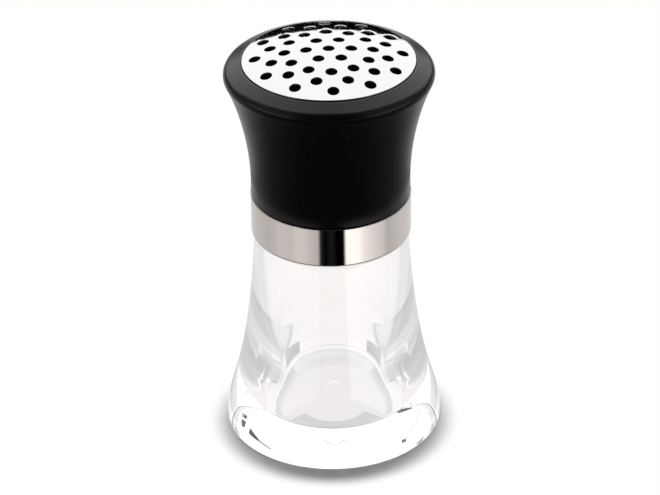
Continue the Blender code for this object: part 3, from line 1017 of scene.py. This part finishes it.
def white_floor():
    """Matt white laminate. It keeps the shadow near the object, and turns into the plain
    white of the surround further out. Through the jar it shows painted shade: a glow that is
    pale under the middle of the foot, darker in a ring further out, and white beyond."""
    material, tree = new_material("floor_white_laminate")
    path = add(tree, "ShaderNodeLightPath")
    place = add(tree, "ShaderNodeTexCoord")
    away = add(tree, "ShaderNodeVectorMath", {0: place.outputs["Object"]}, operation="LENGTH")
    from_middle = add(tree, "ShaderNodeVectorMath", {
        0: place.outputs["Object"], 1: SHADOW_MIDDLE,
    }, operation="DISTANCE")
    far = add(tree, "ShaderNodeMapRange", {
        "Value": from_middle.outputs["Value"],
        "From Min": SHADOW_FADE_START, "From Max": SHADOW_FADE_END,
    }, interpolation_type="SMOOTHSTEP")
    matt = add(tree, "ShaderNodeBsdfDiffuse", {"Color": LAMINATE})
    plain = add(tree, "ShaderNodeEmission", {"Strength": 1.0})
    shown = add(tree, "ShaderNodeMixShader", {
        0: far.outputs["Result"], 1: matt.outputs[0], 2: plain.outputs[0],
    })
    # Painted shade under the foot: a glow by distance from the middle, shown only to rays that
    # come through the jar
    share = add(tree, "ShaderNodeMath", {
        0: away.outputs["Value"], 1: 1 / UNDER_FOOT_REACH,
    }, operation="MULTIPLY")
    under = add(tree, "ShaderNodeValToRGB", {"Fac": share.outputs[0]})
    ramp_stops(under.color_ramp, UNDER_FOOT_PAINTED_SHADE, UNDER_FOOT_TINT)
    painted_shade_glow = add(tree, "ShaderNodeEmission", {"Color": under.outputs["Color"]})
    through = add(tree, "ShaderNodeMixShader", {
        0: path.outputs["Is Transmission Ray"], 1: shown.outputs[0], 2: painted_shade_glow.outputs[0],
    })
    lit = add(tree, "ShaderNodeMixShader", {
        0: path.outputs["Is Diffuse Ray"], 1: through.outputs[0], 2: matt.outputs[0],
    })
    surface(tree, lit)
    return material


def card_material(name, strength):
    """Painted card that shows at one plain brightness."""
    material, tree = new_material(name)
    surface(tree, add(tree, "ShaderNodeEmission", {"Strength": strength}))
    return material


def stage_object(name, bm, material, seen_by):
    """A studio piece that only some kinds of ray see."""
    mesh = bpy.data.meshes.new(name)
    bm.to_mesh(mesh)
    bm.free()
    mesh.materials.append(material)
    item = bpy.data.objects.new(name, mesh)
    bpy.context.scene.collection.objects.link(item)
    for kind in RAY_KINDS:
        setattr(item, f"visible_{kind}", kind in seen_by)
    return item


def sector(inner, outer, start, end, height, rise=0.0, foot_lean=0.0, top_lean=0.0):
    """A flat or upright ring sector about the middle axis. Angles are in degrees from the
    camera's side, to the right as the camera sees it. A lean is what an edge climbs from
    start to end."""
    bm = bmesh.new()
    rows = []
    for radius, level, lean in ((inner, height, foot_lean), (outer, height + rise, top_lean)):
        row = []
        for step in range(SECTOR_STEPS + 1):
            along = step / SECTOR_STEPS
            spin = math.radians(start + (end - start) * along)
            climbed = level + lean * along
            row.append(bm.verts.new((radius * math.sin(spin), -radius * math.cos(spin), climbed)))
        rows.append(row)
    for at in range(SECTOR_STEPS):
        bm.faces.new((rows[0][at], rows[0][at + 1], rows[1][at + 1], rows[1][at]))
    return bm


def toned_material(name, tones):
    """Card painted in tones that change with the way round the middle axis."""
    material, tree = new_material(name)
    place = add(tree, "ShaderNodeTexCoord")
    round_about = add(tree, "ShaderNodeMapping", {"Vector": place.outputs["Object"]})
    round_about.inputs["Rotation"].default_value = (0.0, 0.0, math.radians(90))
    turn = add(tree, "ShaderNodeTexGradient", {
        "Vector": round_about.outputs[0],
    }, gradient_type="RADIAL")
    ramp = add(tree, "ShaderNodeValToRGB", {"Fac": turn.outputs["Fac"]})
    brightest = max(tone for _, tone in tones)
    ramp_stops(ramp.color_ramp, [(share, tone / brightest) for share, tone in tones])
    shader = add(tree, "ShaderNodeEmission", {
        "Color": ramp.outputs["Color"], "Strength": brightest,
    })
    surface(tree, shader)
    return material


class SHAKER_OT_stage(Operator):
    """Builds the floor, the lights and cards, and the camera"""

    bl_idname = "shaker.stage"
    bl_label = "Studio"

    def execute(self, context):
        studio = context.scene.shaker_studio
        floor = bmesh.new()
        bmesh.ops.create_grid(floor, x_segments=8, y_segments=8, size=FLOOR_HALF_WIDTH)
        item = stage_object("floor", floor, white_floor(), RAY_KINDS)
        item.location.z = -studio.floor_gap
        toned = {
            name: toned_material(name, tones)
            for name, tones in (("card_table_tones", BAND_TONES), ("card_room_tones", ROOM_TONES))
        }
        for name, tones, inner, outer, height, rise in RINGS:
            ring = sector(inner, outer, -180, 180, height, rise)
            stage_object(name, ring, toned[tones], MIRRORED)
        for name, tone, seen_by, *place in CARDS:
            material = card_material("card_" + name, tone)
            stage_object(name, sector(*place), material, seen_by)
        self.world(context, studio)
        self.softbox(context, studio)
        self.camera(context, studio)
        context.scene.view_settings.view_transform = "Standard"
        return {"FINISHED"}

    def world(self, context, studio):
        """Plain white, dimmer where it lights matt surfaces."""
        world = bpy.data.worlds.new("white_surround")
        world.use_nodes = True
        tree = world.node_tree
        tree.nodes.clear()
        path = add(tree, "ShaderNodeLightPath")
        strength = add(tree, "ShaderNodeMapRange", {
            "Value": path.outputs["Is Diffuse Ray"], "To Min": 1.0, "To Max": studio.fill,
        })
        white = add(tree, "ShaderNodeBackground", {"Strength": strength.outputs["Result"]})
        white.inputs["Color"].default_value = (1.0, 1.0, 1.0, 1.0)
        add(tree, "ShaderNodeOutputWorld", {"Surface": white.outputs[0]})
        context.scene.world = world

    def softbox(self, context, studio):
        data = bpy.data.lights.new("softbox", "AREA")
        data.shape = "RECTANGLE"
        data.size = SOFTBOX_WIDTH
        data.size_y = SOFTBOX_DEPTH
        data.energy = studio.softbox * SOFTBOX_WIDTH * SOFTBOX_DEPTH * math.pi
        lamp = bpy.data.objects.new("softbox", data)
        context.scene.collection.objects.link(lamp)
        lamp.location = SOFTBOX_PLACE
        lamp.visible_transmission = False
        lamp.visible_glossy = False
        lamp.rotation_euler = Vector(SOFTBOX_PLACE).to_track_quat("Z", "Y").to_euler()

    def camera(self, context, studio):
        data = bpy.data.cameras.new("camera")
        data.sensor_width = 36.0
        data.lens = studio.lens
        camera = bpy.data.objects.new("camera", data)
        context.scene.collection.objects.link(camera)
        rise = math.sin(studio.camera_elevation)
        run = math.cos(studio.camera_elevation)
        back = Vector((0.0, -run, rise))
        place = Vector((0.0, 0.0, studio.camera_height)) + back * studio.camera_distance
        look = Matrix((
            (1.0, 0.0, 0.0),
            (0.0, rise, -run),
            (0.0, run, rise),
        ))
        turn = Matrix.Rotation(-studio.camera_pan, 3, "Y")
        tilt = Matrix.Rotation(studio.camera_tilt, 3, "X")
        roll = Matrix.Rotation(studio.camera_roll, 3, "Z")
        camera.matrix_world = Matrix.Translation(place) @ (look @ tilt @ turn @ roll).to_4x4()
        context.scene.camera = camera


class SHAKER_PT_panel(Panel):
    """Lists the shaker's sizes, finishes and build steps"""

    bl_idname = "SHAKER_PT_panel"
    bl_label = "Table shaker"
    bl_space_type = "VIEW_3D"
    bl_region_type = "UI"
    bl_category = "Shaker"

    def draw(self, context):
        for name, group in PROPERTY_GROUPS.items():
            box = self.layout.box()
            box.label(text=group.__doc__)
            settings = getattr(context.scene, name)
            for key in group.__annotations__:
                box.prop(settings, key)
        for step in OPERATORS:
            self.layout.operator(step.bl_idname)


PROPERTY_GROUPS = {
    "shaker_jar": ShakerJarSizes,
    "shaker_thread": ShakerThreadSizes,
    "shaker_cap": ShakerCapSizes,
    "shaker_plate": ShakerPlateSizes,
    "shaker_finishes": ShakerFinishes,
    "shaker_studio": ShakerStudio,
}
OPERATORS = (
    SHAKER_OT_jar,
    SHAKER_OT_seal,
    SHAKER_OT_sleeve,
    SHAKER_OT_band,
    SHAKER_OT_collar,
    SHAKER_OT_ring,
    SHAKER_OT_plate,
    SHAKER_OT_stage,
)


def register():
    for item in (*PROPERTY_GROUPS.values(), *OPERATORS, SHAKER_PT_panel):
        bpy.utils.register_class(item)
    for name, group in PROPERTY_GROUPS.items():
        setattr(bpy.types.Scene, name, PointerProperty(type=group))


def unregister():
    for name in PROPERTY_GROUPS:
        delattr(bpy.types.Scene, name)
    for item in (SHAKER_PT_panel, *OPERATORS, *PROPERTY_GROUPS.values()):
        bpy.utils.unregister_class(item)


def main():
    register()
    for step in OPERATORS:
        getattr(bpy.ops.shaker, step.bl_idname.split(".")[1])()


if __name__ == "__main__":
    main()
